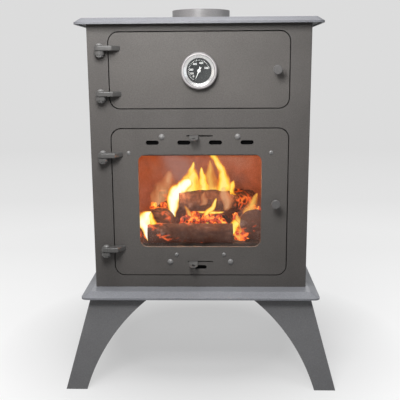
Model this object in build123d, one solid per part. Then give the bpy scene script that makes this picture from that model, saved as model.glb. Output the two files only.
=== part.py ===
from build123d import *
import math
import os

# Free-standing wood stove with an oven above its firebox, in millimetres.
# Origin on the floor, in the middle of the feet. +Z is up, the doors face -Y, +X is to the right.

# Body
body_width = 450.0
body_depth = 400.0
body_bottom = 198.0
body_height = 559.5
sheet = 4.0
front_thickness = 5.0
front_edge_round = 2.0

# Base plate and top plate: flat sheets with a sloped flange and a short upright lip all round
base_side_overhang = 24.7
base_front_overhang = 49.4
base_rear_overhang = 25.0
base_flange_run = 18.5
base_flange_drop = 8.7
top_side_overhang = 22.3
top_end_overhang = 22.3
top_flange_run = 13.4
top_flange_drop = 8.6
plate_lip = 4.0
plate_corner = 13.0
plate_corner_flat = 4.0

# Legs: folded corner plates, splayed both ways, with a curved inner edge
leg_sheet = 5.0
leg_splay = 51.8
leg_bend = 6.0
leg_top_width = 136.0
leg_foot_width = 44.0
leg_arch_sagitta = 21.0

# Flue collar
collar_bore_radius = 62.5
collar_wall = 2.5
collar_rise = 27.5
collar_below = 8.5
collar_flange_width = 13.0
collar_flange_sheet = 3.0

# Doors, flush with the front plate; the rails are what is left of the front plate round them
side_rail = 43.7
bottom_rail = 27.5
middle_rail = 42.3
top_rail = 27.8
oven_door_height = 150.4
door_corner = 20.0
door_gap = 2.2

# Door frames behind the front plate, and the rope seals that close on them
frame_wall = 12.0
frame_lip = 10.0
frame_lip_sheet = 4.0
seal_inset = 2.0
seal_width = 7.0
seal_depth = 6.0
seal_round = 2.4
seal_clearance = 0.3

# Hinges: door strap above, body lug below, one domed bolt through both
hinge_offset_x = 16.7
hinge_offset_y = 13.0
knuckle_radius = 10.0
strap_thickness = 10.5
strap_round = 2.5
strap_flat = 26.0
strap_reach = 23.3
strap_heel = 3.0
lug_thickness = 7.0
hinge_play = 0.4
hinge_bolt_radius = 4.0
running_clearance = 0.05
hinge_head_radius = 6.3
hinge_head_height = 4.5
hinge_nut_across = 13.0
hinge_nut_height = 3.5
hinge_bolt_tail = 1.5
oven_strap_rise = 29.4
oven_strap_drop = 31.0
fire_strap_rise = 59.5
fire_strap_drop = 52.2

# Latches: a turned knob on a spindle, with a tongue that goes behind the frame's lip
knob_inset = 25.3
oven_knob_offset = 0.5
fire_knob_offset = 1.75
knob_radius = 9.3
knob_disc = 7.0
knob_neck_radius = 5.5
knob_projection = 25.0
knob_round = 1.2
knob_collar_play = 0.4
spindle_radius = 4.0
bush_wall = 3.0
tongue_play = 0.4
tongue_sheet = 4.0
tongue_half_width = 7.5
tongue_length = 25.0
latch_nut_across = 12.0
latch_nut_height = 4.0
spindle_tail = 1.5

# Window
window_side_rail = 53.4
window_bottom_rail = 60.9
window_top_rail = 52.9
window_corner = 16.0
gasket_thickness = 1.5
glass_thickness = 4.0
glass_overlap_side = 12.0
glass_overlap_sill = 10.0
glass_overlap_top = 9.0
glass_corner = 6.0
clip_sheet = 2.5
clip_top_height = 14.0
clip_top_drop = 3.5
clip_low_height = 21.0
clip_low_gap = 2.5
clip_end = 8.0
clip_boss_radius = 4.6
top_screw_beside = 19.2
top_screw_above = 3.4
low_screw_x = 50.5
low_screw_below = 16.8
glass_screw_radius = 2.0
glass_screw_head_radius = 4.25
glass_screw_head_height = 2.4
glass_screw_socket = 2.5
glass_screw_socket_depth = 1.4
glass_nut_across = 7.0
glass_nut_height = 3.0

# Air controls: a sliding shutter behind each row of slots
vent_length = 27.0
vent_height = 9.0
vent_pitch = 65.0
upper_vent_count = 4
upper_vent_drop = 28.3
lower_vent_rise = 16.4
slider_sheet = 2.0
slider_play = 0.3
slider_land = 2.0
slider_top_land = 2.4
upper_guide_x = 78.0
upper_guide_drop = 16.1
lower_guide_x = 64.2
lower_guide_rise = 28.3
guide_radius = 3.0
guide_play = 0.3
guide_head_radius = 6.0
guide_head_height = 4.0
guide_nut_across = 10.0
guide_nut_height = 3.0
guide_nut_play = 0.2
tab_slot_half = 27.0
tab_slot_height = 2.6
tab_sheet = 2.0
tab_width = 18.0
tab_end_play = 0.5
tab_neck = 3.0
tab_length = 19.0
tab_droop = 22.0
tab_chamfer = 5.0
tab_hole_radius = 3.6
upper_tab_drop = 14.6
lower_tab_rise = 28.5
upper_tab_rest = -11.5
lower_tab_rest = -14.7

# Thermometer on the oven door
gauge_offset = -0.9
gauge_bezel_radius = 36.4
gauge_depth = 14.0
gauge_case_radius = 33.5
gauge_case_wall = 1.2
gauge_floor = 2.0
gauge_dial_radius = 31.0
gauge_dial_level = 6.5
gauge_dial_sheet = 0.8
gauge_face_radius = 25.3
gauge_ring_sheet = 0.8
gauge_lens_radius = 32.2
gauge_lens_level = 11.0
gauge_lens_sheet = 1.5
gauge_lip_radius = 31.0
gauge_bezel_sheet = 1.0
needle_level = 8.0
needle_sheet = 0.6
needle_length = 20.0
needle_half_width = 1.1
needle_tail = 9.0
needle_tail_half_width = 2.2
needle_hub_radius = 3.2
needle_angle = 203.0
stem_radius = 4.0
stem_length = 46.0
stem_hole_play = 0.3
arbor_radius = 0.9
arbor_play = 0.05
arbor_end_gap = 0.5
gauge_nut_across = 17.0
gauge_nut_height = 5.0

# Oven
oven_sheet = 3.0
oven_side_gap = 37.0
oven_floor_rise = 4.7
oven_ceiling_drop = 4.7
oven_back_gap = 62.2
runner_sheet = 2.0
runner_width = 17.0
runner_height = 10.0
runner_level = 26.0
runner_inset = 12.0
rack_side_gap = 15.0
rack_front_gap = 20.0
rack_back_gap = 6.0
rack_corner = 14.0
rack_frame_radius = 3.0
rack_rod_radius = 2.0
rack_rods = 11

# Firebox
brick_thickness = 25.0
brick_top_drop = 7.0
brick_front_gap = 6.0
fire_floor_level = 38.0
ledge_sheet = 3.0
ledge_rise = 30.0
pan_half_width = 118.0
pan_side_gap = 5.0
pan_sheet = 1.5
pan_height = 26.0
pan_front_gap = 22.5
pan_rear_gap = 33.2
pan_handle_width = 70.0
pan_handle_reach = 12.0
grate_thickness = 10.0
grate_overlap = 7.0
grate_front_gap = 46.5
grate_rear_gap = 23.2
grate_slots = 9
grate_slot_width = 12.0
grate_rim = 14.0
baffle_thickness = 6.0
baffle_front_gap = 77.5
baffle_side_gap = 3.0

# Places that follow from the sizes above
base_depth = base_front_overhang + body_depth + base_rear_overhang
front_y = -base_depth / 2 + base_front_overhang
back_y = front_y + body_depth
body_centre_y = (front_y + back_y) / 2
top_z = body_bottom + body_height
casing_top = top_z - sheet
front_back_y = front_y + front_thickness
panel_front_y = back_y - sheet
inner_half_width = body_width / 2 - sheet
base_half_width = body_width / 2 + base_side_overhang
lip_front_y = front_back_y + seal_depth + seal_clearance
frame_back_y = lip_front_y + frame_lip_sheet
door_width = body_width - 2 * side_rail
oven_door_top = body_height - top_rail
oven_door_sill = oven_door_top - oven_door_height
oven_door_centre = oven_door_sill + oven_door_height / 2
fire_door_sill = bottom_rail
fire_door_top = oven_door_sill - middle_rail
fire_door_height = fire_door_top - fire_door_sill
oven_strap_heights = (oven_door_sill + oven_strap_rise, oven_door_top - oven_strap_drop)
fire_strap_heights = (fire_door_sill + fire_strap_rise, fire_door_top - fire_strap_drop)
pin_x = -door_width / 2 - hinge_offset_x
pin_y = front_y - hinge_offset_y
knob_x = door_width / 2 - knob_inset
oven_knob_height = oven_door_centre + oven_knob_offset
fire_knob_height = fire_door_sill + fire_door_height / 2 + fire_knob_offset
tongue_front_y = frame_back_y + tongue_play
window_half_width = door_width / 2 - window_side_rail
window_sill = fire_door_sill + window_bottom_rail
window_top = fire_door_top - window_top_rail
glass_screw_top = (window_half_width + top_screw_beside, window_top + top_screw_above)
glass_screw_low = (low_screw_x, window_sill - low_screw_below)
upper_vent_height = fire_door_top - upper_vent_drop
lower_vent_height = fire_door_sill + lower_vent_rise
upper_guide = (upper_guide_x, fire_door_top - upper_guide_drop)
lower_guide = (lower_guide_x, fire_door_sill + lower_guide_rise)
upper_tab_height = fire_door_top - upper_tab_drop
lower_tab_height = fire_door_sill + lower_tab_rise
oven_half_width = inner_half_width - oven_side_gap
oven_back = back_y - oven_back_gap
gauge_z = body_bottom + oven_door_centre + gauge_offset
fire_floor_z = body_bottom + fire_floor_level
ledge_top_z = fire_floor_z + ledge_rise
brick_top_z = body_bottom + fire_door_top - brick_top_drop
brick_front_y = frame_back_y + brick_front_gap
rear_brick_y = panel_front_y - brick_thickness
pan_front = frame_back_y + pan_front_gap
pan_back = rear_brick_y - pan_rear_gap
grate_front = brick_front_y + grate_front_gap
grate_back = rear_brick_y - grate_rear_gap
baffle_front = frame_back_y + baffle_front_gap


def block(x_range, y_range, z_range):
    size = [high - low for low, high in (x_range, y_range, z_range)]
    corner = (x_range[0], y_range[0], z_range[0])
    return Pos(*corner) * Box(*size, align=(Align.MIN, Align.MIN, Align.MIN))


def upright_plane(x, y, z):
    # A plane that faces the front, with its own x to the right and its own y upwards
    return Plane(origin=(x, y, z), x_dir=(1, 0, 0), z_dir=(0, -1, 0))


def plate_from(sketch, x, z, y_near, y_far):
    # A flat piece parallel to the front, between two distances from it
    return extrude(upright_plane(x, y_far, z) * sketch, amount=y_far - y_near)


def turned(profile, x, z):
    # A round piece about an axis along Y: the profile is a list of (radius, y)
    face = make_face(Polyline(*profile, close=True))
    return Pos(x, 0, z) * revolve(face, axis=Axis.Y)


def rod_y(radius, x, z, y_near, y_far):
    return plate_from(Circle(radius), x, z, y_near, y_far)


def hex_nut_y(across, bore, x, z, y_near, y_far):
    outline = RegularPolygon(across / 2, 6, major_radius=False) - Circle(bore)
    return plate_from(outline, x, z, y_near, y_far)


def domed_bolt(shank_radius, shank_length, head_radius, head_height):
    # A bolt that stands along +Y: its seat at the origin, its domed head above, its shank below
    shoulder = head_height / 4
    rise = head_height - shoulder
    sphere = (head_radius ** 2 + rise ** 2) / (2 * rise)
    half_angle = math.asin(head_radius / sphere) / 2
    dome_middle = (sphere * math.sin(half_angle), head_height - sphere + sphere * math.cos(half_angle))
    sides = Polyline(
        (0, head_height), (0, -shank_length), (shank_radius, -shank_length),
        (shank_radius, 0), (head_radius, 0), (head_radius, shoulder))
    dome = ThreePointArc((head_radius, shoulder), dome_middle, (0, head_height))
    return revolve(make_face(sides + dome), axis=Axis.Y)


def front_bolt(shank_radius, end_y, head_radius, head_height, x, z):
    # A domed bolt whose head is on the door's face
    bolt = domed_bolt(shank_radius, end_y - front_y, head_radius, head_height)
    return Pos(x, front_y, z) * Rot(180, 0, 0) * bolt


def save(name, *solids):
    os.makedirs("parts", exist_ok=True)
    loose = []
    for item in solids:
        loose.extend(item.solids())
    shape = loose[0] if len(loose) == 1 else Compound(children=loose)
    export_step(shape, "parts/" + name + ".step")


# Plates of the casing

def tray_block(half_x, half_y, level, run, drop, lip, corner, corner_flat):
    # The outside of a flanged plate as one block: upright lip, slope, flat top
    slope_foot = level - drop
    lip_part = extrude(
        Pos(0, 0, slope_foot - lip) * RectangleRounded(2 * half_x, 2 * half_y, corner), amount=lip)
    low = Pos(0, 0, slope_foot) * RectangleRounded(2 * half_x, 2 * half_y, corner)
    high = Pos(0, 0, level) * RectangleRounded(2 * (half_x - run), 2 * (half_y - run), corner_flat)
    return lip_part + loft([low, high], ruled=True)


def flanged_plate(half_x, half_y, level, run, drop):
    outside = tray_block(half_x, half_y, level, run, drop, plate_lip, plate_corner, plate_corner_flat)
    inside = tray_block(
        half_x - sheet, half_y - sheet, level - sheet, run - sheet / 2, drop - sheet / 2,
        plate_lip, plate_corner - sheet, plate_corner_flat - sheet / 2)
    return outside - inside


def base_plate():
    return flanged_plate(base_half_width, base_depth / 2, body_bottom, base_flange_run, base_flange_drop)


def top_plate():
    half_y = body_depth / 2 + top_end_overhang
    plate = flanged_plate(
        body_width / 2 + top_side_overhang, half_y, top_z, top_flange_run, top_flange_drop)
    plate = Pos(0, body_centre_y, 0) * plate
    hole = Pos(0, body_centre_y, top_z) * Cylinder(collar_bore_radius + collar_wall, 4 * sheet)
    return plate - hole


def flue_collar():
    outer = collar_bore_radius + collar_wall
    rim = top_z + collar_rise
    foot = casing_top - collar_below
    tube = Circle(outer) - Circle(collar_bore_radius)
    flange = Circle(outer + collar_flange_width) - Circle(collar_bore_radius)
    collar = extrude(Pos(0, body_centre_y, foot) * tube, amount=rim - foot)
    seat = casing_top - collar_flange_sheet
    return collar + extrude(Pos(0, body_centre_y, seat) * flange, amount=collar_flange_sheet)


def door_cut(sill, height):
    return Pos(0, body_bottom + sill + height / 2) * RectangleRounded(
        door_width + 2 * door_gap, height + 2 * door_gap, door_corner + door_gap)


def front_plate():
    middle = (body_bottom + casing_top) / 2
    outline = Pos(0, middle) * Rectangle(body_width, casing_top - body_bottom)
    outline -= door_cut(oven_door_sill, oven_door_height)
    outline -= door_cut(fire_door_sill, fire_door_height)
    plate = plate_from(outline, 0, 0, front_y, front_back_y)
    corners = plate.edges().filter_by(Axis.Z).group_by(Axis.Y)[0]
    outer = [edge for edge in corners if abs(edge.center().X) > body_width / 2 - sheet]
    return fillet(outer, front_edge_round)


def side_panel(side):
    outer = side * body_width / 2
    inner = side * inner_half_width
    return block(sorted((outer, inner)), (front_back_y, panel_front_y), (body_bottom, casing_top))


def back_panel():
    half = body_width / 2
    return block((-half, half), (panel_front_y, back_y), (body_bottom, casing_top))


# Legs

def leg_arch(top_half, foot_half, leg_height):
    # The open space between two legs, seen square on: its edges curve in towards the feet
    right_edge = SagittaArc((top_half, leg_height), (foot_half, 0), leg_arch_sagitta)
    left_edge = SagittaArc((-foot_half, 0), (-top_half, leg_height), leg_arch_sagitta)
    across_top = Line((-top_half, leg_height), (top_half, leg_height))
    across_foot = Line((foot_half, 0), (-foot_half, 0))
    return make_face(across_top + right_edge + across_foot + left_edge)


def legs():
    height = body_bottom - sheet
    top_x = base_half_width - base_flange_run - sheet / 2
    top_y = base_depth / 2 - base_flange_run - sheet / 2
    foot_x = top_x + leg_splay
    foot_y = top_y + leg_splay

    def skirt(inset):
        low = Rectangle(2 * (foot_x - inset), 2 * (foot_y - inset))
        high = Pos(0, 0, height) * Rectangle(2 * (top_x - inset), 2 * (top_y - inset))
        return loft([low, high], ruled=True)

    shell = skirt(0) - skirt(leg_sheet)
    front_arch = leg_arch(top_x - leg_top_width, foot_x - leg_foot_width, height)
    side_arch = leg_arch(top_y - leg_top_width, foot_y - leg_foot_width, height)
    through_y = extrude(upright_plane(0, 0, 0) * front_arch, amount=2 * foot_y, both=True)
    side_plane = Plane(origin=(0, 0, 0), x_dir=(0, 1, 0), z_dir=(1, 0, 0))
    through_x = extrude(side_plane * side_arch, amount=2 * foot_x, both=True)
    shell = shell - through_y - through_x
    corners = {}
    for piece in shell.solids():
        centre = piece.center()
        end = "front" if centre.Y < 0 else "rear"
        side = "left" if centre.X < 0 else "right"
        tall = [edge for edge in piece.edges().filter_by(GeomType.LINE) if edge.length > height / 2]
        fold = max(tall, key=lambda edge: abs(edge.center().X) + abs(edge.center().Y))
        corners["leg_" + end + "_" + side] = piece.fillet(leg_bend, [fold])
    return corners


# Doors and their frames

def door_outline(height, inset=0.0):
    corner = max(door_corner - inset, 1.0)
    return RectangleRounded(door_width - 2 * inset, height - 2 * inset, corner)


def door_middle(sill, height):
    return body_bottom + sill + height / 2


def door_frame(sill, height):
    z = door_middle(sill, height)
    outer = door_outline(height, -door_gap - frame_wall)
    wall = outer - door_outline(height, -door_gap)
    lip = outer - door_outline(height, frame_lip)
    return (plate_from(wall, 0, z, front_back_y, lip_front_y)
            + plate_from(lip, 0, z, lip_front_y, frame_back_y))


def door_seal(sill, height):
    z = door_middle(sill, height)
    ring = door_outline(height, seal_inset) - door_outline(height, seal_inset + seal_width)
    rope = plate_from(ring, 0, z, front_back_y, front_back_y + seal_depth)
    far_edges = rope.edges().group_by(Axis.Y)[-1]
    return fillet(far_edges, seal_round)


def oven_door_plate():
    z = door_middle(oven_door_sill, oven_door_height)
    outline = door_outline(oven_door_height)
    outline -= Pos(knob_x, body_bottom + oven_knob_height - z) * Circle(spindle_radius + running_clearance)
    outline -= Pos(0, gauge_z - z) * Circle(stem_radius + stem_hole_play)
    return plate_from(outline, 0, z, front_y, front_back_y)


def upper_vent_places():
    first = -(upper_vent_count - 1) / 2
    return [(first + index) * vent_pitch for index in range(upper_vent_count)]


def fire_door_plate():
    z = door_middle(fire_door_sill, fire_door_height)

    def at(x, height):
        return Pos(x, body_bottom + height - z)

    outline = door_outline(fire_door_height)
    window = RectangleRounded(2 * window_half_width, window_top - window_sill, window_corner)
    outline -= at(0, (window_sill + window_top) / 2) * window
    outline -= at(knob_x, fire_knob_height) * Circle(spindle_radius + running_clearance)
    vent = SlotOverall(vent_length, vent_height)
    for x in upper_vent_places():
        outline -= at(x, upper_vent_height) * vent
    outline -= at(0, lower_vent_height) * vent
    tab_slot = Rectangle(2 * tab_slot_half, tab_slot_height)
    outline -= at(0, upper_tab_height) * tab_slot
    outline -= at(0, lower_tab_height) * tab_slot
    for side in (-1, 1):
        for x, height in (upper_guide, lower_guide):
            outline -= at(side * x, height) * Circle(guide_radius)
        for x, height in (glass_screw_top, glass_screw_low):
            outline -= at(side * x, height) * Circle(glass_screw_radius)
    return plate_from(outline, 0, z, front_y, front_back_y)


# Hinges

def strap(height):
    middle = body_bottom + height
    door_edge = -door_width / 2
    reach_x = door_edge + strap_reach
    arm = make_face(Polyline(
        (pin_x, pin_y - knuckle_radius), (pin_x + strap_flat, pin_y - knuckle_radius),
        (reach_x, front_y), (door_edge + strap_heel, front_y), (pin_x, pin_y + knuckle_radius),
        close=True))
    outline = arm + Pos(pin_x, pin_y) * Circle(knuckle_radius)
    outline -= Pos(pin_x, pin_y) * Circle(hinge_bolt_radius + running_clearance)
    bar = extrude(Pos(0, 0, middle - strap_thickness / 2) * outline, amount=strap_thickness)
    # Its edges are rounded, but for those on the door
    flats = bar.faces().filter_by(Axis.Z)
    rims = [edge for flat in flats for edge in flat.outer_wire().edges()]
    free_rims = [edge for edge in rims if abs(edge.center().Y - front_y) > running_clearance]
    return fillet(free_rims, strap_round)


def lug(height):
    top = body_bottom + height - strap_thickness / 2 - hinge_play
    arm_depth = front_y - pin_y
    arm = Pos(pin_x, pin_y + arm_depth / 2) * Rectangle(2 * knuckle_radius, arm_depth)
    outline = arm + Pos(pin_x, pin_y) * Circle(knuckle_radius)
    outline -= Pos(pin_x, pin_y) * Circle(hinge_bolt_radius)
    return extrude(Pos(0, 0, top - lug_thickness) * outline, amount=lug_thickness)


def hinge_bolt(height):
    seat = body_bottom + height + strap_thickness / 2 + hinge_play
    foot = (body_bottom + height - strap_thickness / 2 - hinge_play
            - lug_thickness - hinge_nut_height - hinge_bolt_tail)
    bolt = domed_bolt(hinge_bolt_radius, seat - foot, hinge_head_radius, hinge_head_height)
    return Pos(pin_x, pin_y, seat) * Rot(90, 0, 0) * bolt


def hinge_nut(height):
    top = body_bottom + height - strap_thickness / 2 - hinge_play - lug_thickness
    outline = RegularPolygon(hinge_nut_across / 2, 6, major_radius=False) - Circle(hinge_bolt_radius)
    return extrude(Pos(pin_x, pin_y, top - hinge_nut_height) * outline, amount=hinge_nut_height)


# Latches

def knob(height):
    z = body_bottom + height
    face = front_y - knob_projection
    neck_start = face + knob_disc
    neck_end = front_y - knob_collar_play
    tail = tongue_front_y + tongue_sheet + latch_nut_height + spindle_tail
    return turned((
        (0, face), (knob_radius - knob_round, face), (knob_radius, face + knob_round),
        (knob_radius, neck_start - knob_round), (knob_radius - knob_round, neck_start),
        (knob_neck_radius, neck_start), (knob_neck_radius, neck_end),
        (spindle_radius, neck_end), (spindle_radius, tail), (0, tail)), knob_x, z)


def latch_bush(height):
    z = body_bottom + height
    ring = Circle(spindle_radius + bush_wall) - Circle(spindle_radius + running_clearance)
    return plate_from(ring, knob_x, z, front_back_y, tongue_front_y - tongue_play)


def latch_tongue(height):
    z = body_bottom + height
    eye = Circle(tongue_half_width)
    blade_length = tongue_length - tongue_half_width / 2
    blade = Pos(0, -blade_length / 2) * Rectangle(2 * tongue_half_width, blade_length)
    tip = Pos(0, -blade_length) * SlotOverall(2 * tongue_half_width, tongue_half_width)
    outline = eye + blade + tip - Circle(spindle_radius)
    return plate_from(outline, knob_x, z, tongue_front_y, tongue_front_y + tongue_sheet)


def latch_nut(height):
    near = tongue_front_y + tongue_sheet
    return hex_nut_y(
        latch_nut_across, spindle_radius, knob_x, body_bottom + height, near, near + latch_nut_height)


# Window

glass_front_y = front_back_y + gasket_thickness
glass_back_y = glass_front_y + glass_thickness


def glass_outline():
    width = 2 * (window_half_width + glass_overlap_side)
    height = window_top - window_sill + glass_overlap_sill + glass_overlap_top
    return RectangleRounded(width, height, glass_corner)


def glass_middle():
    low = window_sill - glass_overlap_sill
    high = window_top + glass_overlap_top
    return body_bottom + (low + high) / 2


def window_glass():
    return plate_from(glass_outline(), 0, glass_middle(), glass_front_y, glass_back_y)


def glass_gasket():
    window = RectangleRounded(2 * window_half_width, window_top - window_sill, window_corner)
    shift = body_bottom + (window_sill + window_top) / 2 - glass_middle()
    ring = glass_outline() - Pos(0, shift) * window
    return plate_from(ring, 0, glass_middle(), front_back_y, glass_front_y)


def glass_clip(screw, low, high):
    # A strip across the back of the glass, stood off the door by a boss at each screw
    x, height = screw
    length = 2 * (x + clip_end)
    strip = Pos(0, (low + high) / 2 - height) * Rectangle(length, high - low)
    clip = plate_from(strip, 0, body_bottom + height, glass_back_y, glass_back_y + clip_sheet)
    for side in (-1, 1):
        z = body_bottom + height
        clip += rod_y(clip_boss_radius, side * x, z, front_back_y, glass_back_y)
        clip -= rod_y(glass_screw_radius, side * x, z, front_y, glass_back_y + 2 * clip_sheet)
    return clip


def glass_screw(x, height):
    # A button head with a hexagonal socket in it
    z = body_bottom + height
    end = glass_back_y + clip_sheet + glass_nut_height
    screw = front_bolt(glass_screw_radius, end, glass_screw_head_radius, glass_screw_head_height, x, z)
    head_face = front_y - glass_screw_head_height
    hexagon = RegularPolygon(glass_screw_socket / 2, 6, major_radius=False)
    return screw - plate_from(hexagon, x, z, head_face, head_face + glass_screw_socket_depth)


def glass_screws():
    return [
        glass_screw(side * x, height)
        for x, height in (glass_screw_top, glass_screw_low) for side in (-1, 1)]


def glass_screw_nuts():
    near = glass_back_y + clip_sheet
    return [
        hex_nut_y(glass_nut_across, glass_screw_radius, side * x, body_bottom + height,
                  near, near + glass_nut_height)
        for x, height in (glass_screw_top, glass_screw_low) for side in (-1, 1)]


# Air controls

slider_near_y = front_back_y + slider_play
slider_far_y = slider_near_y + slider_sheet
tab_reach = tab_slot_half - tab_width / 2 - tab_end_play


def slider_travel(tab_rest):
    # How far a slider can go each way before its tab meets the end of its slot
    return -tab_reach - tab_rest, tab_reach - tab_rest


def slider_tab(tab_rest, tab_height):
    z = body_bottom + tab_height
    hinge_y = front_y - tab_neck
    neck = Pos(tab_rest, (hinge_y + slider_near_y) / 2, z) * Box(tab_width, slider_near_y - hinge_y, tab_sheet)
    half = tab_width / 2
    outline = make_face(Polyline(
        (-half, 0), (half, 0), (half, tab_length - tab_chamfer), (half - tab_chamfer, tab_length),
        (tab_chamfer - half, tab_length), (-half, tab_length - tab_chamfer), close=True))
    outline -= Pos(0, tab_length / 2 + tab_chamfer / 2) * Circle(tab_hole_radius)
    # The leaf is drawn flat with its length along +Y, then turned to the front and drooped
    leaf = Rot(tab_droop, 0, 0) * Rot(0, 0, 180) * extrude(outline, amount=tab_sheet / 2, both=True)
    knee = Pos(tab_rest, hinge_y, z) * Rot(0, 90, 0) * Cylinder(tab_sheet / 2, tab_width)
    return neck + knee + Pos(tab_rest, hinge_y, z) * leaf


def air_slider(vents, vent_height_z, guide, tab_rest, tab_height, top):
    # Its slots come behind the door's slots at the far end of its travel, and it shuts them before that
    low, high = slider_travel(tab_rest)
    guide_x, guide_height = guide
    bottom = vent_height_z - vent_height / 2 - slider_land
    left_need = min(min(vents) - high - vent_length / 2, -guide_x - high - guide_radius)
    right_need = max(max(vents) + vent_length / 2 - low, guide_x - low + guide_radius)
    left = left_need - 2 * slider_land
    right = right_need + 2 * slider_land
    middle_x = (left + right) / 2
    middle_z = body_bottom + (bottom + top) / 2

    def at(x, height):
        return Pos(x - middle_x, body_bottom + height - middle_z)

    outline = Rectangle(right - left, top - bottom)
    for x in vents:
        outline -= at(x - high, vent_height_z) * SlotOverall(vent_length, vent_height)
    bore = guide_radius + guide_play
    for side in (-1, 1):
        slot = SlotOverall(high - low + 2 * bore, 2 * bore)
        outline -= at(side * guide_x - (low + high) / 2, guide_height) * slot
    plate = plate_from(outline, middle_x, middle_z, slider_near_y, slider_far_y)
    return plate + slider_tab(tab_rest, tab_height)


def upper_air_slider():
    top = upper_guide[1] + guide_radius + guide_play + slider_top_land
    return air_slider(
        upper_vent_places(), upper_vent_height, upper_guide, upper_tab_rest, upper_tab_height, top)


def lower_air_slider():
    top = lower_guide[1] + guide_radius + guide_play + slider_top_land
    return air_slider([0.0], lower_vent_height, lower_guide, lower_tab_rest, lower_tab_height, top)


def guide_bolts():
    end = slider_far_y + guide_nut_play + guide_nut_height
    return [
        front_bolt(guide_radius, end, guide_head_radius, guide_head_height,
                   side * x, body_bottom + height)
        for x, height in (upper_guide, lower_guide) for side in (-1, 1)]


def guide_nuts():
    near = slider_far_y + guide_nut_play
    return [
        hex_nut_y(guide_nut_across, guide_radius, side * x, body_bottom + height,
                  near, near + guide_nut_height)
        for x, height in (upper_guide, lower_guide) for side in (-1, 1)]


# Thermometer: every depth is measured forwards from the oven door's face

def proud(depth):
    return front_y - depth


def thermometer_case():
    rim = proud(gauge_lens_level - gauge_ring_sheet)
    inner = gauge_case_radius - gauge_case_wall
    return turned((
        (stem_radius, proud(0)), (gauge_case_radius, proud(0)), (gauge_case_radius, rim),
        (inner, rim), (inner, proud(gauge_floor)), (stem_radius, proud(gauge_floor))), 0, gauge_z)


def thermometer_dial():
    back = proud(gauge_dial_level)
    face = proud(gauge_dial_level + gauge_dial_sheet)
    return turned((
        (arbor_radius + arbor_play, back), (gauge_dial_radius, back),
        (gauge_dial_radius, face), (arbor_radius + arbor_play, face)), 0, gauge_z)


def thermometer_inner_ring():
    # A bright cone between the dial's edge and the lens
    foot = proud(gauge_dial_level + gauge_dial_sheet)
    head = proud(gauge_lens_level)
    outer = gauge_case_radius - gauge_case_wall
    return turned((
        (gauge_face_radius, foot), (gauge_face_radius + 2 * gauge_ring_sheet, foot),
        (outer, head + gauge_ring_sheet), (outer, head), (outer - gauge_ring_sheet, head)), 0, gauge_z)


def thermometer_lens():
    back = proud(gauge_lens_level)
    face = proud(gauge_lens_level + gauge_lens_sheet)
    return turned((
        (0, back), (gauge_lens_radius, back), (gauge_lens_radius, face), (0, face)), 0, gauge_z)


def thermometer_bezel():
    skin = gauge_bezel_sheet
    lens_face = gauge_lens_level + gauge_lens_sheet
    outer = gauge_bezel_radius
    rolled = gauge_bezel_radius - 2 * skin
    return turned((
        (gauge_case_radius, proud(2 * skin)), (outer, proud(2 * skin)),
        (outer, proud(gauge_depth - 2 * skin)), (rolled, proud(gauge_depth)),
        (gauge_lip_radius + skin, proud(gauge_depth)), (gauge_lip_radius, proud(lens_face)),
        (gauge_case_radius, proud(lens_face))), 0, gauge_z)


def thermometer_stem():
    # The sensing tube behind the door; the arbor in front of it ends flush behind the needle
    tail = front_back_y + stem_length
    seat = proud(gauge_floor)
    return rod_y(stem_radius, 0, gauge_z, seat, tail)


def thermometer_nut():
    return hex_nut_y(
        gauge_nut_across, stem_radius, 0, gauge_z, front_back_y, front_back_y + gauge_nut_height)


def thermometer_needle():
    blade = make_face(Polyline(
        (-needle_half_width, 0), (0, needle_length), (needle_half_width, 0), close=True))
    tail = make_face(Polyline(
        (-needle_half_width, 0), (-needle_tail_half_width, -needle_tail),
        (0, -needle_tail + needle_tail_half_width), (needle_tail_half_width, -needle_tail),
        (needle_half_width, 0), close=True))
    outline = Rot(0, 0, -needle_angle) * (blade + tail) + Circle(needle_hub_radius)
    pointer = plate_from(outline, 0, gauge_z, proud(needle_level + needle_sheet), proud(needle_level))
    arbor = rod_y(arbor_radius, 0, gauge_z, proud(needle_level), proud(gauge_floor + arbor_end_gap))
    return pointer + arbor


# Oven

oven_floor_z = body_bottom + oven_door_sill + oven_floor_rise
oven_ceiling_z = body_bottom + oven_door_top - oven_ceiling_drop
rack_level = oven_floor_z + runner_level
rack_half_width = oven_half_width - rack_side_gap


def oven_box():
    half = oven_half_width
    outside = block(
        (-half - oven_sheet, half + oven_sheet), (frame_back_y, oven_back + oven_sheet),
        (oven_floor_z - oven_sheet, oven_ceiling_z + oven_sheet))
    return outside - block((-half, half), (frame_back_y, oven_back), (oven_floor_z, oven_ceiling_z))


def rack_runner(side):
    wall = oven_half_width
    y_range = (frame_back_y + runner_inset, oven_back - runner_inset)
    shelf = block(sorted((side * wall, side * (wall - runner_width))), y_range,
                  (rack_level - runner_sheet, rack_level))
    web = block(sorted((side * wall, side * (wall - runner_sheet))), y_range,
                (rack_level - runner_height, rack_level))
    return shelf + web


def oven_rack():
    near = frame_back_y + rack_front_gap
    far = oven_back - rack_back_gap
    z = rack_level + rack_frame_radius
    middle = (near + far) / 2
    depth = far - near - 2 * rack_frame_radius
    width = 2 * (rack_half_width - rack_frame_radius)
    loop = Pos(0, middle, z) * RectangleRounded(width, depth, rack_corner)
    path = loop.face().outer_wire()
    start = Plane(origin=path @ 0, z_dir=path % 0)
    rack = sweep(start * Circle(rack_frame_radius), path=path)
    pitch = width / (rack_rods + 1)
    for index in range(rack_rods):
        x = -width / 2 + (index + 1) * pitch
        rack += rod_y(rack_rod_radius, x, z, middle - depth / 2, middle + depth / 2)
    return rack


# Firebox

def firebrick_side(side):
    x_range = sorted((side * inner_half_width, side * (inner_half_width - brick_thickness)))
    return block(x_range, (brick_front_y, panel_front_y), (fire_floor_z, brick_top_z))


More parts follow.
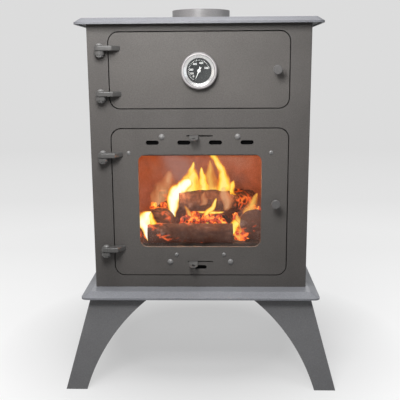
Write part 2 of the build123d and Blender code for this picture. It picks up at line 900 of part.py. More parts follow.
def firebrick_rear():
    half = inner_half_width - brick_thickness
    return block((-half, half), (rear_brick_y, panel_front_y), (fire_floor_z, brick_top_z))


def firebox_floor():
    return block((-inner_half_width, inner_half_width), (frame_back_y, panel_front_y),
                 (fire_floor_z - sheet, fire_floor_z))


def grate_ledge(side):
    inner = pan_half_width + pan_side_gap
    outer = inner_half_width - brick_thickness
    y_range = (brick_front_y, rear_brick_y)
    wall = block(sorted((side * inner, side * (inner + ledge_sheet))), y_range, (fire_floor_z, ledge_top_z))
    shelf = block(sorted((side * inner, side * outer)), y_range, (ledge_top_z - ledge_sheet, ledge_top_z))
    return wall + shelf


def fire_grate():
    half = pan_half_width + pan_side_gap + grate_overlap
    outline = Pos(0, (grate_front + grate_back) / 2) * Rectangle(2 * half, grate_back - grate_front)
    pitch = 2 * (half - grate_rim) / grate_slots
    for index in range(grate_slots):
        x = -half + grate_rim + (index + 0.5) * pitch
        slot = SlotOverall(grate_back - grate_front - 2 * grate_rim, grate_slot_width, rotation=90)
        outline -= Pos(x, (grate_front + grate_back) / 2) * slot
    return extrude(Pos(0, 0, ledge_top_z) * outline, amount=grate_thickness)


def ash_pan():
    half = pan_half_width
    top = fire_floor_z + pan_height
    tub = block((-half, half), (pan_front, pan_back), (fire_floor_z, top))
    tub -= block((-half + pan_sheet, half - pan_sheet), (pan_front + pan_sheet, pan_back - pan_sheet),
                 (fire_floor_z + pan_sheet, top))
    grip_half = pan_handle_width / 2
    grip = block((-grip_half, grip_half), (pan_front - pan_handle_reach, pan_front),
                 (top - pan_sheet, top))
    turn_down = block((-grip_half, grip_half),
                      (pan_front - pan_handle_reach, pan_front - pan_handle_reach + pan_sheet),
                      (top - pan_handle_reach, top))
    return tub + grip + turn_down


def baffle_plate():
    half = inner_half_width - baffle_side_gap
    return block((-half, half), (baffle_front, panel_front_y), (brick_top_z, brick_top_z + baffle_thickness))


# Every piece, under the name of its file

save("base_plate", base_plate())
save("top_plate", top_plate())
save("front_plate", front_plate())
save("side_panel_left", side_panel(-1))
save("side_panel_right", side_panel(1))
save("back_panel", back_panel())
for leg_name, leg in legs().items():
    save(leg_name, leg)
save("flue_collar", flue_collar())

save("oven_door_frame", door_frame(oven_door_sill, oven_door_height))
save("fire_door_frame", door_frame(fire_door_sill, fire_door_height))
all_strap_heights = oven_strap_heights + fire_strap_heights
save("hinge_lugs", *[lug(height) for height in all_strap_heights])
save("hinge_bolts", *[hinge_bolt(height) for height in all_strap_heights])
save("hinge_nuts", *[hinge_nut(height) for height in all_strap_heights])

save("oven_box", oven_box())
save("rack_runners", rack_runner(-1), rack_runner(1))
save("oven_rack", oven_rack())
save("firebox_floor", firebox_floor())
save("firebrick_left", firebrick_side(-1))
save("firebrick_right", firebrick_side(1))
save("firebrick_rear", firebrick_rear())
save("grate_ledges", grate_ledge(-1), grate_ledge(1))
save("fire_grate", fire_grate())
save("ash_pan", ash_pan())
save("baffle_plate", baffle_plate())

save("oven_door_plate", oven_door_plate())
save("oven_door_straps", *[strap(height) for height in oven_strap_heights])
save("oven_door_seal", door_seal(oven_door_sill, oven_door_height))
save("oven_latch_bush", latch_bush(oven_knob_height))
save("oven_knob", knob(oven_knob_height))
save("oven_latch_tongue", latch_tongue(oven_knob_height))
save("oven_latch_nut", latch_nut(oven_knob_height))
save("thermometer_case", thermometer_case())
save("thermometer_dial", thermometer_dial())
save("thermometer_inner_ring", thermometer_inner_ring())
save("thermometer_lens", thermometer_lens())
save("thermometer_bezel", thermometer_bezel())
save("thermometer_stem", thermometer_stem())
save("thermometer_nut", thermometer_nut())
save("thermometer_needle", thermometer_needle())

save("fire_door_plate", fire_door_plate())
save("fire_door_straps", *[strap(height) for height in fire_strap_heights])
save("fire_door_seal", door_seal(fire_door_sill, fire_door_height))
save("fire_latch_bush", latch_bush(fire_knob_height))
save("fire_knob", knob(fire_knob_height))
save("fire_latch_tongue", latch_tongue(fire_knob_height))
save("fire_latch_nut", latch_nut(fire_knob_height))
save("window_glass", window_glass())
save("glass_gasket", glass_gasket())
clip_top_foot = window_top - clip_top_drop
save("glass_clip_top", glass_clip(glass_screw_top, clip_top_foot, clip_top_foot + clip_top_height))
clip_low_head = window_sill - clip_low_gap
save("glass_clip_bottom", glass_clip(glass_screw_low, clip_low_head - clip_low_height, clip_low_head))
save("glass_screws", *glass_screws())
save("glass_screw_nuts", *glass_screw_nuts())
save("upper_air_slider", upper_air_slider())
save("lower_air_slider", lower_air_slider())
save("slider_guide_bolts", *guide_bolts())
save("slider_guide_nuts", *guide_nuts())
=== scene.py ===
import math
import random

import bmesh
import bpy
from mathutils import Euler, Matrix, Vector, noise


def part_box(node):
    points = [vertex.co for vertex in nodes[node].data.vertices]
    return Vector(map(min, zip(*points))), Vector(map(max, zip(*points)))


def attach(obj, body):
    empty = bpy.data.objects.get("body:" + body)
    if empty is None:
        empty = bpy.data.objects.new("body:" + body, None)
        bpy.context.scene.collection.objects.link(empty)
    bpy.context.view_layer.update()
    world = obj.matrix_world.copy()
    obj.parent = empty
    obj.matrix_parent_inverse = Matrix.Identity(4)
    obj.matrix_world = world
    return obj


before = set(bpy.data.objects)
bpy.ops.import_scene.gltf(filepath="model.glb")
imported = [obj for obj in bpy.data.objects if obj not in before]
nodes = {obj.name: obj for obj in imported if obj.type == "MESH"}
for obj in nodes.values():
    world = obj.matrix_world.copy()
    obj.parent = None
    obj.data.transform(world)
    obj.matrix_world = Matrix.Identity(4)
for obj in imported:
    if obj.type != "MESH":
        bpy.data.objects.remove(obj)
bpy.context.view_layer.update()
print("frame loaded:", len(nodes), "nodes")


def addToScene(obj):
    bpy.context.scene.collection.objects.link(obj)


# Camera, at the photograph's viewing angle

camera = {
    "eye": (0.0358, -1.5251, 0.6632),
    "pitch": 11.61,      # degrees below level
    "yaw": -1.53,        # degrees, to the right is positive
    "roll": -0.39,
    "lens": 58.75,
    "sensorWidth": 36.0,
}


def buildCamera(spec):
    data = bpy.data.cameras.new("stoveCamera")
    data.lens = spec["lens"]
    data.sensor_width = spec["sensorWidth"]
    obj = bpy.data.objects.new("stoveCamera", data)
    addToScene(obj)
    level = math.radians(90 - spec["pitch"])
    turn = Euler((level, 0, math.radians(-spec["yaw"]))).to_matrix().to_4x4()
    turn = turn @ Matrix.Rotation(math.radians(spec["roll"]), 4, "Z")
    obj.matrix_world = Matrix.Translation(spec["eye"]) @ turn
    bpy.context.scene.camera = obj


buildCamera(camera)
print("camera placed")


# Small helpers for materials

def startMaterial(name):
    mat = bpy.data.materials.new(name)
    mat.use_nodes = True
    tree = mat.node_tree
    return mat, tree, tree.nodes["Principled BSDF"]


def addNode(tree, kind, **settings):
    node = tree.nodes.new(kind)
    for key, value in settings.items():
        setattr(node, key, value)
    return node


def objectSpace(tree, scale=(1, 1, 1)):
    coords = addNode(tree, "ShaderNodeTexCoord")
    mapping = addNode(tree, "ShaderNodeMapping")
    mapping.inputs["Scale"].default_value = scale
    tree.links.new(coords.outputs["Object"], mapping.inputs["Vector"])
    return mapping.outputs["Vector"]


def addNoise(tree, vector, scale, detail=4.0, rough=0.55, distortion=0.0):
    node = addNode(tree, "ShaderNodeTexNoise")
    node.inputs["Scale"].default_value = scale
    node.inputs["Detail"].default_value = detail
    node.inputs["Roughness"].default_value = rough
    node.inputs["Distortion"].default_value = distortion
    tree.links.new(vector, node.inputs["Vector"])
    return node.outputs["Fac"]


def opaque(colour):
    return tuple(colour) + (1.0,)


def shaded(colour, share):
    return tuple(min(1.0, channel * share) for channel in colour)


def addRamp(tree, factor, stops):
    node = addNode(tree, "ShaderNodeValToRGB")
    ramp = node.color_ramp
    while len(ramp.elements) < len(stops):
        ramp.elements.new(0.5)
    for element, (position, colour) in zip(ramp.elements, stops):
        element.position = position
        element.color = opaque(colour)
    tree.links.new(factor, node.inputs["Fac"])
    return node.outputs["Color"]


def addToneRamp(tree, factor, stops):
    return addRamp(tree, factor, [(position, (tone, tone, tone)) for position, tone in stops])


def addRange(tree, factor, low, high, fromLow=0.0, fromHigh=1.0):
    node = addNode(tree, "ShaderNodeMapRange")
    node.inputs["From Min"].default_value = fromLow
    node.inputs["From Max"].default_value = fromHigh
    node.inputs["To Min"].default_value = low
    node.inputs["To Max"].default_value = high
    tree.links.new(factor, node.inputs["Value"])
    return node.outputs["Result"]


def mixColours(tree, factor, first, second, mode="MIX"):
    # A colour mix takes its share at socket 0 and its two colours at 6 and 7, and gives output 2
    node = addNode(tree, "ShaderNodeMix", data_type="RGBA", blend_type=mode)
    if isinstance(factor, float):
        node.inputs[0].default_value = factor
    else:
        tree.links.new(factor, node.inputs[0])
    for socket, value in ((node.inputs[6], first), (node.inputs[7], second)):
        if isinstance(value, tuple):
            socket.default_value = opaque(value)
        else:
            tree.links.new(value, socket)
    return node.outputs[2]


def addBump(tree, shader, height, strength, distance):
    node = addNode(tree, "ShaderNodeBump")
    node.inputs["Strength"].default_value = strength
    node.inputs["Distance"].default_value = distance
    tree.links.new(height, node.inputs["Height"])
    tree.links.new(node.outputs["Normal"], shader.inputs["Normal"])


# Heat-resistant paint: matte, finely pebbled, with faint cloudy patches

paintGrain = {
    "cloudScale": 5.5,
    "cloud": 0.10,             # how far a patch is from the paint's colour
    "pebbleScale": 420.0,
    "speckle": 0.10,
    "pebbleBump": 0.25,
    "pebbleDepth": 0.0006,
    "streakScale": 26.0,
    "streak": 0.06,
}


def paintMaterial(name, colour, roughness, specular=0.5):
    grain = paintGrain
    mat, tree, shader = startMaterial(name)
    space = objectSpace(tree)
    clouds = addNoise(tree, space, grain["cloudScale"], detail=5.0, rough=0.6, distortion=0.4)
    specks = addNoise(tree, space, grain["pebbleScale"], detail=3.0)
    dark = shaded(colour, 1 - grain["cloud"])
    light = shaded(colour, 1 + grain["cloud"])
    cloudy = addRamp(tree, clouds, ((0.30, dark), (0.70, light)))
    speckle = addRange(tree, specks, 1 - grain["speckle"], 1 + grain["speckle"], 0.35, 0.65)
    tinted = mixColours(tree, 1.0, cloudy, speckle, "MULTIPLY")
    tree.links.new(tinted, shader.inputs["Base Color"])
    streaks = addNoise(tree, objectSpace(tree, scale=(1, 1, 0.25)), grain["streakScale"])
    smooth = roughness - grain["streak"]
    rough = roughness + grain["streak"]
    tree.links.new(addRange(tree, streaks, smooth, rough, 0.3, 0.7), shader.inputs["Roughness"])
    addBump(tree, shader, specks, grain["pebbleBump"], grain["pebbleDepth"])
    shader.inputs["Specular IOR Level"].default_value = specular
    return mat


paints = {
    "body": {"colour": (0.106, 0.099, 0.094), "roughness": 0.50, "specular": 0.16},
    "door": {"colour": (0.113, 0.105, 0.099), "roughness": 0.48, "specular": 0.16},
    "plate": {"colour": (0.150, 0.152, 0.167), "roughness": 0.44},
    # Painted light: the base plate has the top plate's paint made lighter, standing in for the light its
    # flange catches
    "paintedLightBasePlate": {"colour": (0.220, 0.225, 0.244), "roughness": 0.44},
    "leg": {"colour": (0.140, 0.140, 0.144), "roughness": 0.50},
    "knob": {"colour": (0.100, 0.096, 0.094), "roughness": 0.36},
    "fastener": {"colour": (0.190, 0.186, 0.182), "roughness": 0.30},
    "hinge": {"colour": (0.088, 0.085, 0.082), "roughness": 0.32},
    "collar": {"colour": (0.200, 0.194, 0.194), "roughness": 0.40},
}


# Air sliders: a painted tab in front of the door, and behind it a sheet painted near black as shade for the
# dark inside the slots

slider = {
    "paint": (0.070, 0.068, 0.066),
    "worn": (0.120, 0.116, 0.112),
    # Painted shade: the near-black colour of the sheet behind the door's face, for the dark inside the
    # slots
    "soot": (0.004, 0.004, 0.004),
    "cloudScale": 60.0,
    "roughness": 0.34,
    "paintedShadeShine": 0.02,
    "paintShine": 0.6,
    "fade": 0.001,             # metres behind the door's face where the paint ends
}


def sliderMaterial(spec):
    mat, tree, shader = startMaterial("sliderPaint")
    space = objectSpace(tree)
    split = addNode(tree, "ShaderNodeSeparateXYZ")
    tree.links.new(space, split.inputs["Vector"])
    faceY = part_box("fire_door_plate")[0].y
    front = addRange(tree, split.outputs["Y"], 1.0, 0.0, faceY, faceY + spec["fade"])
    clouds = addNoise(tree, space, spec["cloudScale"])
    painted = addRamp(tree, clouds, ((0.3, spec["paint"]), (0.7, spec["worn"])))
    # In front of the door's face the tab is paint; behind it the sheet is painted shade
    tree.links.new(mixColours(tree, front, spec["soot"], painted), shader.inputs["Base Color"])
    tree.links.new(addRange(tree, front, spec["paintedShadeShine"], spec["paintShine"]),
                   shader.inputs["Specular IOR Level"])
    shader.inputs["Roughness"].default_value = spec["roughness"]
    return mat


# Bare steel inside: heat-stained, sooty, with rusty patches

steelStain = {
    "stainScale": 11.0,
    "sootShare": 0.35,
    "rusty": (0.16, 0.075, 0.035),
    "grainScale": 260.0,
    "grainShare": 0.18,
    "grainBump": 0.22,
    "grainDepth": 0.0005,
    "dry": 0.16,               # how much rougher the stains are, and how much smoother the clean patches
    "clean": 0.12,
    "metallic": 0.55,
}
steels = {
    "steel": {"name": "stainedSteel", "colour": (0.11, 0.10, 0.095), "roughness": 0.55, "rust": 0.35},
    "iron": {"name": "grateIron", "colour": (0.06, 0.055, 0.05), "roughness": 0.75, "rust": 0.5},
    "frame": {"name": "frameSteel", "colour": (0.045, 0.043, 0.042), "roughness": 0.6, "rust": 0.15},
}


def stainedSteel(name, colour, roughness, rust):
    stain = steelStain
    mat, tree, shader = startMaterial(name)
    space = objectSpace(tree)
    stains = addNoise(tree, space, stain["stainScale"], detail=6.0, rough=0.65, distortion=0.8)
    soot = shaded(colour, stain["sootShare"])
    rusted = tuple(channel * (1 - rust) + tint * rust for channel, tint in zip(colour, stain["rusty"]))
    base = addRamp(tree, stains, ((0.28, soot), (0.50, colour), (0.75, rusted)))
    grain = addNoise(tree, space, stain["grainScale"])
    grained = mixColours(tree, stain["grainShare"], base, grain, "OVERLAY")
    tree.links.new(grained, shader.inputs["Base Color"])
    smooth = roughness - stain["clean"]
    rough = roughness + stain["dry"]
    tree.links.new(addRange(tree, stains, smooth, rough, 0.3, 0.7), shader.inputs["Roughness"])
    addBump(tree, shader, grain, stain["grainBump"], stain["grainDepth"])
    shader.inputs["Metallic"].default_value = stain["metallic"]
    return mat


# Bright metals: brushed round the gauge, zinc on the nuts, wire on the rack

brightGrain = {
    "smudgeScale": 40.0,
    "dull": 0.82,
    "polished": 0.05,          # how much smoother the clean metal is, and how much rougher the smudges
    "smudged": 0.08,
    "lineBump": 0.12,
    "lineDepth": 0.0002,
}
brushing = {"brushed": (1, 6, 1), "scale": 300.0}
metals = {
    "zinc": {"name": "zincHardware", "colour": (0.55, 0.56, 0.58), "roughness": 0.35},
    "wire": {"name": "rackWire", "colour": (0.72, 0.72, 0.74), "roughness": 0.25},
    "bezel": {"name": "brushedBezel", "colour": (0.42, 0.40, 0.40), "roughness": 0.40, **brushing},
    "ring": {"name": "brushedRing", "colour": (0.72, 0.71, 0.70), "roughness": 0.26, **brushing},
}


def brightMetal(name, colour, roughness, brushed=(1, 1, 1), scale=180.0):
    grain = brightGrain
    mat, tree, shader = startMaterial(name)
    lines = addNoise(tree, objectSpace(tree, scale=brushed), scale, detail=5.0, rough=0.7)
    smudges = addNoise(tree, objectSpace(tree), grain["smudgeScale"], detail=3.0)
    dull = shaded(colour, grain["dull"])
    tree.links.new(addRamp(tree, lines, ((0.30, dull), (0.70, colour))), shader.inputs["Base Color"])
    smooth = roughness - grain["polished"]
    rough = roughness + grain["smudged"]
    tree.links.new(addRange(tree, smudges, smooth, rough, 0.3, 0.7), shader.inputs["Roughness"])
    addBump(tree, shader, lines, grain["lineBump"], grain["lineDepth"])
    shader.inputs["Metallic"].default_value = 1.0
    return mat


# Firebrick: porous board, soot-stained, lit by the fire in front of it, with more of the fire's light
# painted on as a glow

firebrick = {
    "patchScale": 9.0,
    "poreScale": 240.0,
    "poreShare": 0.35,
    "poreBump": 0.4,
    "poreDepth": 0.0012,
    "roughness": 0.9,
    "soot": (0.20, 0.10, 0.06),
    "warm": (0.50, 0.25, 0.15),
    "pale": (0.62, 0.42, 0.34),
    # Painted light: the fire's light on the bricks, emitted as a glow that follows the patches
    "glowLow": (0.10, 0.028, 0.012),
    "glowMid": (0.42, 0.090, 0.030),
    "glowHigh": (0.40, 0.150, 0.090),
    "glow": 0.42,
}


def firebrickMaterial(spec):
    mat, tree, shader = startMaterial("firebrickGlow")
    space = objectSpace(tree)
    patches = addNoise(tree, space, spec["patchScale"], distortion=0.6)
    pores = addNoise(tree, space, spec["poreScale"])
    base = addRamp(tree, patches, ((0.25, spec["soot"]), (0.48, spec["warm"]), (0.72, spec["pale"])))
    porous = mixColours(tree, spec["poreShare"], base, pores, "OVERLAY")
    tree.links.new(porous, shader.inputs["Base Color"])
    glowing = addRamp(tree, patches, (
        (0.28, spec["glowLow"]), (0.52, spec["glowMid"]), (0.75, spec["glowHigh"])))
    tree.links.new(glowing, shader.inputs["Emission Color"])
    shader.inputs["Emission Strength"].default_value = spec["glow"]
    shader.inputs["Roughness"].default_value = spec["roughness"]
    addBump(tree, shader, pores, spec["poreBump"], spec["poreDepth"])
    return mat


# Rope seal: woven fibre, as fine diagonal braid

rope = {
    "weaveScale": 260.0,
    "weaveWander": 1.5,
    "fuzzScale": 160.0,
    "dark": (0.10, 0.095, 0.09),
    "light": (0.32, 0.31, 0.29),
    "braidBump": 0.6,
    "braidDepth": 0.0008,
    "roughness": 0.95,
}


def ropeMaterial(spec):
    mat, tree, shader = startMaterial("ropeSeal")
    weave = addNode(tree, "ShaderNodeTexWave", wave_type="BANDS", bands_direction="DIAGONAL")
    weave.inputs["Scale"].default_value = spec["weaveScale"]
    weave.inputs["Distortion"].default_value = spec["weaveWander"]
    tree.links.new(objectSpace(tree), weave.inputs["Vector"])
    fuzz = addNoise(tree, objectSpace(tree), spec["fuzzScale"])
    base = addRamp(tree, fuzz, ((0.3, spec["dark"]), (0.7, spec["light"])))
    tree.links.new(base, shader.inputs["Base Color"])
    addBump(tree, shader, weave.outputs["Fac"], spec["braidBump"], spec["braidDepth"])
    shader.inputs["Roughness"].default_value = spec["roughness"]
    return mat


# Clear panes: a thin, faintly smoked film with a soft reflection

windowPane = {
    "tint": (0.60, 0.42, 0.36),
    "cover": 0.06,             # share of the view that the film hides, and how far that varies
    "haze": 0.05,
    "patchScale": 9.0,
    "roughness": 0.06,
    "specular": 0.3,
}
gaugeLens = {
    "tint": (0.9, 0.92, 0.92),
    "cover": 0.015,
    "haze": 0.01,
    "patchScale": 16.0,
    "roughness": 0.06,
    "specular": 0.12,
}


def paneMaterial(name, spec):
    mat, tree, shader = startMaterial(name)
    smoke = addNoise(tree, objectSpace(tree), spec["patchScale"], detail=2.0)
    thin = spec["cover"] - spec["haze"]
    thick = spec["cover"] + spec["haze"]
    tree.links.new(addRange(tree, smoke, thin, thick, 0.35, 0.65), shader.inputs["Alpha"])
    shader.inputs["Base Color"].default_value = opaque(spec["tint"])
    shader.inputs["Roughness"].default_value = spec["roughness"]
    shader.inputs["Specular IOR Level"].default_value = spec["specular"]
    return mat


# The gauge's dial is matte black; its needle, ticks and numbers are white lacquer

dial = {
    "deep": (0.009, 0.011, 0.011),
    "worn": (0.016, 0.018, 0.018),
    "grainScale": 500.0,
    "roughness": 0.55,
    "specular": 0.2,
}
lacquer = {
    "white": (0.86, 0.86, 0.84),
    "dull": 0.9,
    "grainScale": 700.0,
    "roughness": 0.45,
}


def dialMaterial(spec):
    mat, tree, shader = startMaterial("gaugeDialBlack")
    grain = addNoise(tree, objectSpace(tree), spec["grainScale"], detail=2.0)
    base = addRamp(tree, grain, ((0.3, spec["deep"]), (0.7, spec["worn"])))
    tree.links.new(base, shader.inputs["Base Color"])
    shader.inputs["Roughness"].default_value = spec["roughness"]
    shader.inputs["Specular IOR Level"].default_value = spec["specular"]
    return mat


def lacquerMaterial(spec):
    mat, tree, shader = startMaterial("whiteLacquer")
    grain = addNoise(tree, objectSpace(tree), spec["grainScale"], detail=2.0)
    base = addRamp(tree, grain, ((0.3, shaded(spec["white"], spec["dull"])), (0.7, spec["white"])))
    tree.links.new(base, shader.inputs["Base Color"])
    shader.inputs["Roughness"].default_value = spec["roughness"]
    return mat


# Every solid gets its finish

finishes = {name: paintMaterial(name + "Paint", **spec) for name, spec in paints.items()}
for name, spec in steels.items():
    finishes[name] = stainedSteel(**spec)
for name, spec in metals.items():
    finishes[name] = brightMetal(**spec)
finishes["slider"] = sliderMaterial(slider)
finishes["brick"] = firebrickMaterial(firebrick)
finishes["rope"] = ropeMaterial(rope)
finishes["glass"] = paneMaterial("windowPane", windowPane)
finishes["lens"] = paneMaterial("gaugeLens", gaugeLens)
finishes["dial"] = dialMaterial(dial)
finishes["white"] = lacquerMaterial(lacquer)

nodeFinish = {
    "body": ("front_plate", "side_panel_left", "side_panel_right", "back_panel"),
    "door": ("oven_door_plate", "fire_door_plate"),
    "plate": ("top_plate",),
    "paintedLightBasePlate": ("base_plate",),
    "leg": ("leg_front_left", "leg_front_right", "leg_rear_left", "leg_rear_right"),
    "collar": ("flue_collar",),
    "knob": ("oven_knob", "fire_knob"),
    "hinge": ("hinge_lugs", "oven_door_straps", "fire_door_straps"),
    "slider": ("upper_air_slider", "lower_air_slider"),
    "fastener": ("hinge_bolts", "hinge_nuts", "slider_guide_bolts", "glass_screws"),
    "steel": ("oven_box", "rack_runners", "firebox_floor", "grate_ledges", "baffle_plate", "ash_pan",
              "oven_latch_tongue", "fire_latch_tongue", "glass_clip_top", "glass_clip_bottom",
              "oven_latch_bush", "fire_latch_bush"),
    "frame": ("oven_door_frame", "fire_door_frame"),
    "iron": ("fire_grate",),
    "zinc": ("glass_screw_nuts", "slider_guide_nuts", "oven_latch_nut", "fire_latch_nut",
             "thermometer_nut", "thermometer_stem", "thermometer_case"),
    "wire": ("oven_rack",),
    "bezel": ("thermometer_bezel",),
    "ring": ("thermometer_inner_ring",),
    "brick": ("firebrick_left", "firebrick_right", "firebrick_rear"),
    "rope": ("oven_door_seal", "fire_door_seal", "glass_gasket"),
    "glass": ("window_glass",),
    "lens": ("thermometer_lens",),
    "dial": ("thermometer_dial",),
    "white": ("thermometer_needle",),
}
for finish, names in nodeFinish.items():
    for name in names:
        slots = nodes[name].data.materials
        slots.clear()
        slots.append(finishes[finish])
print("finishes assigned:", sum(len(names) for names in nodeFinish.values()), "nodes")


# Small helper for pieces: from bmesh to a finished object on its body

def finishPiece(bm, name, material, body, smooth=True):
    bmesh.ops.recalc_face_normals(bm, faces=bm.faces)
    mesh = bpy.data.meshes.new(name)
    bm.to_mesh(mesh)
    bm.free()
    for face in mesh.polygons:
        face.use_smooth = smooth
    mesh.materials.append(material)
    obj = bpy.data.objects.new(name, mesh)
    addToScene(obj)
    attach(obj, body)


# The gauge's printed scale: plain numbers and ticks on the black dial

gauge = {
    # Each number and its angle, in degrees clockwise from the top
    "numbers": (("0", 226.0), ("100", 250.0), ("200", 278.0), ("300", 328.0), ("400", 377.0),
                ("500", 430.0)),
    "numberRadius": 0.0156,
    "numberSize": 0.0053,
    "numberBold": 0.015,       # share of the size that each stroke grows by
    "firstAngle": 215.0,
    "lastAngle": 435.0,
    "tickCount": 26,
    "tickRadius": 0.0208,
    "tickLength": 0.0020,
    "tickWidth": 0.0006,
    "longEvery": 5,
    "longShare": 1.5,
    "lift": 0.00012,
    "thickness": 0.00025,
}


def buildTicks(spec, centre, faceY):
    bm = bmesh.new()
    for index in range(spec["tickCount"]):
        share = index / (spec["tickCount"] - 1)
        angle = math.radians(spec["firstAngle"] + share * (spec["lastAngle"] - spec["firstAngle"]))
        longTick = index % spec["longEvery"] == 0
        length = spec["tickLength"] * (spec["longShare"] if longTick else 1.0)
        made = bmesh.ops.create_cube(bm, size=1.0)
        size = Matrix.Diagonal((spec["tickWidth"], spec["thickness"], length, 1.0))
        outward = Matrix.Translation((0, 0, spec["tickRadius"]))
        turn = Matrix.Rotation(angle, 4, "Y")
        shift = Matrix.Translation((centre.x, faceY, centre.z))
        bmesh.ops.transform(bm, matrix=shift @ turn @ outward @ size, verts=made["verts"])
    finishPiece(bm, "gaugeTicks", finishes["white"], "oven_door", smooth=False)


def buildNumber(spec, text, degrees, centre, faceY):
    curve = bpy.data.curves.new("gaugeNumber" + text, "FONT")
    curve.body = text
    curve.size = spec["numberSize"]
    curve.align_x = "CENTER"
    curve.align_y = "CENTER"
    curve.extrude = spec["thickness"] / 2
    curve.offset = spec["numberSize"] * spec["numberBold"]
    maker = bpy.data.objects.new("maker", curve)
    addToScene(maker)
    bpy.context.view_layer.update()
    mesh = bpy.data.meshes.new_from_object(maker)
    bpy.data.objects.remove(maker)
    angle = math.radians(degrees)
    radius = spec["numberRadius"]
    spot = Vector((centre.x + radius * math.sin(angle), faceY, centre.z + radius * math.cos(angle)))
    upright = Matrix.Rotation(math.radians(90), 4, "X")
    mesh.transform(Matrix.Translation(spot) @ upright)
    mesh.materials.clear()
    mesh.materials.append(finishes["white"])
    obj = bpy.data.objects.new("gaugeNumber" + text, mesh)
    addToScene(obj)
    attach(obj, "oven_door")


def buildScale(spec):
    low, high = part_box("thermometer_dial")
    centre = (low + high) / 2
    faceY = low.y - spec["lift"]
    buildTicks(spec, centre, faceY)
    for text, degrees in spec["numbers"]:
        buildNumber(spec, text, degrees, centre, faceY)


buildScale(gauge)
print("gauge scale printed")


# The fire: charred logs on the grate, embers between them, and flames

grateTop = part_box("fire_grate")[1].z
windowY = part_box("fire_door_plate")[0].y
random.seed(7)


def seenAt(x, z, y):
    # The point at depth y that shows at (x, z) on the window's face, from the camera
    eye = Vector(camera["eye"])
    spot = Vector((x, windowY, z))
    return eye + (spot - eye) * ((y - eye.y) / (windowY - eye.y))


# Logs: charred bark, cracked into blocks, with embers glowing in some of the cracks

charredWood = {
    "crackScale": 75.0,
    "crackWidth": 0.22,
    "crackBump": 0.9,
    "crackDepth": 0.004,
    "ashScale": 34.0,
    "hotScale": 17.0,
    "hotFrom": 0.54,
    "hotTo": 0.72,
    "char": (0.014, 0.009, 0.008),
    "bark": (0.085, 0.042, 0.026),
    "ash": (0.32, 0.25, 0.22),
    "dim": (0.03, 0.004, 0.0),
    "red": (0.9, 0.10, 0.01),
    "orange": (1.0, 0.42, 0.06),
    "glow": 0.8,
    "roughness": 0.95,
}
logs = (
    {"name": "logFront", "start": (-0.118, -0.120, 0.024), "end": (0.070, -0.112, 0.022), "radius": 0.0225},
    {"name": "logLeft", "start": (-0.098, -0.088, 0.036), "end": (-0.062, 0.110, 0.036), "radius": 0.034},
    {"name": "logRight", "start": (0.122, -0.100, 0.038), "end": (0.085, 0.105, 0.036), "radius": 0.036},
    {"name": "logTop", "start": (-0.052, -0.058, 0.083), "end": (0.064, -0.046, 0.083), "radius": 0.0245},
    {"name": "logTopRight", "start": (0.058, -0.072, 0.076), "end": (0.112, 0.020, 0.072), "radius": 0.024},
    {"name": "logBack", "start": (-0.110, 0.085, 0.060), "end": (0.100, 0.095, 0.060), "radius": 0.024},
)
logShape = {
    "steps": 22,
    "segments": 28,
    "knotScale": 38.0,
    "knotFractal": (0.9, 2.1, 4),      # smoothness, how much finer each layer is, and layers
    "knotHeight": 0.09,                # share of the radius
    "worn": 0.05,                      # share of the radius that has burnt away all round
}


def charMaterial(spec):
    mat, tree, shader = startMaterial("charredWood")
    space = objectSpace(tree)
    cracks = addNode(tree, "ShaderNodeTexVoronoi", feature="DISTANCE_TO_EDGE")
    cracks.inputs["Scale"].default_value = spec["crackScale"]
    tree.links.new(objectSpace(tree, scale=(0.6, 0.6, 1.0)), cracks.inputs["Vector"])
    ash = addNoise(tree, space, spec["ashScale"], detail=6.0, rough=0.65)
    base = addRamp(tree, ash, ((0.30, spec["char"]), (0.55, spec["bark"]), (0.78, spec["ash"])))
    tree.links.new(base, shader.inputs["Base Color"])
    hot = addNoise(tree, space, spec["hotScale"], detail=3.0, distortion=0.6)
    inCracks = addRange(tree, cracks.outputs["Distance"], 1.0, 0.0, 0.0, spec["crackWidth"])
    where = addRange(tree, hot, 0.0, 1.0, spec["hotFrom"], spec["hotTo"])
    both = addNode(tree, "ShaderNodeMath", operation="MULTIPLY")
    tree.links.new(inCracks, both.inputs[0])
    tree.links.new(where, both.inputs[1])
    glow = addRamp(tree, both.outputs["Value"], (
        (0.05, spec["dim"]), (0.35, spec["red"]), (0.8, spec["orange"])))
    tree.links.new(glow, shader.inputs["Emission Color"])
    shader.inputs["Emission Strength"].default_value = spec["glow"]
    shader.inputs["Roughness"].default_value = spec["roughness"]
    addBump(tree, shader, cracks.outputs["Distance"], spec["crackBump"], spec["crackDepth"])
    return mat


def addRoundBar(bm, start, end, radius):
    # Drawn out in even steps from a disc at its start
    made = bmesh.ops.create_circle(bm, cap_ends=True, radius=radius, segments=logShape["segments"])
    turn = (end - start).to_track_quat("Z", "Y").to_matrix().to_4x4()
    bmesh.ops.transform(bm, matrix=Matrix.Translation(start) @ turn, verts=made["verts"])
    face = made["verts"][0].link_faces[0]
    for _ in range(logShape["steps"]):
        grown = bmesh.ops.extrude_face_region(bm, geom=[face])
        ring = [item for item in grown["geom"] if isinstance(item, bmesh.types.BMVert)]
        face = [item for item in grown["geom"] if isinstance(item, bmesh.types.BMFace)][0]
        bmesh.ops.translate(bm, vec=(end - start) / logShape["steps"], verts=ring)


def buildLog(spec, material):
    bm = bmesh.new()
    start = Vector(spec["start"]) + Vector((0, 0, grateTop))
    end = Vector(spec["end"]) + Vector((0, 0, grateTop))
    addRoundBar(bm, start, end, spec["radius"])
    axis = (end - start).normalized()
    for vert in bm.verts:
        along = (vert.co - start).dot(axis)
        outward = vert.co - (start + axis * along)
        knot = noise.fractal(vert.co * logShape["knotScale"], *logShape["knotFractal"])
        vert.co += outward * (knot * logShape["knotHeight"] - logShape["worn"])
    finishPiece(bm, spec["name"], material, "root")


charred = charMaterial(charredWood)
for spec in logs:
    buildLog(spec, charred)
print("logs laid:", len(logs))


# Embers: a bed on the grate, and heaps between the logs

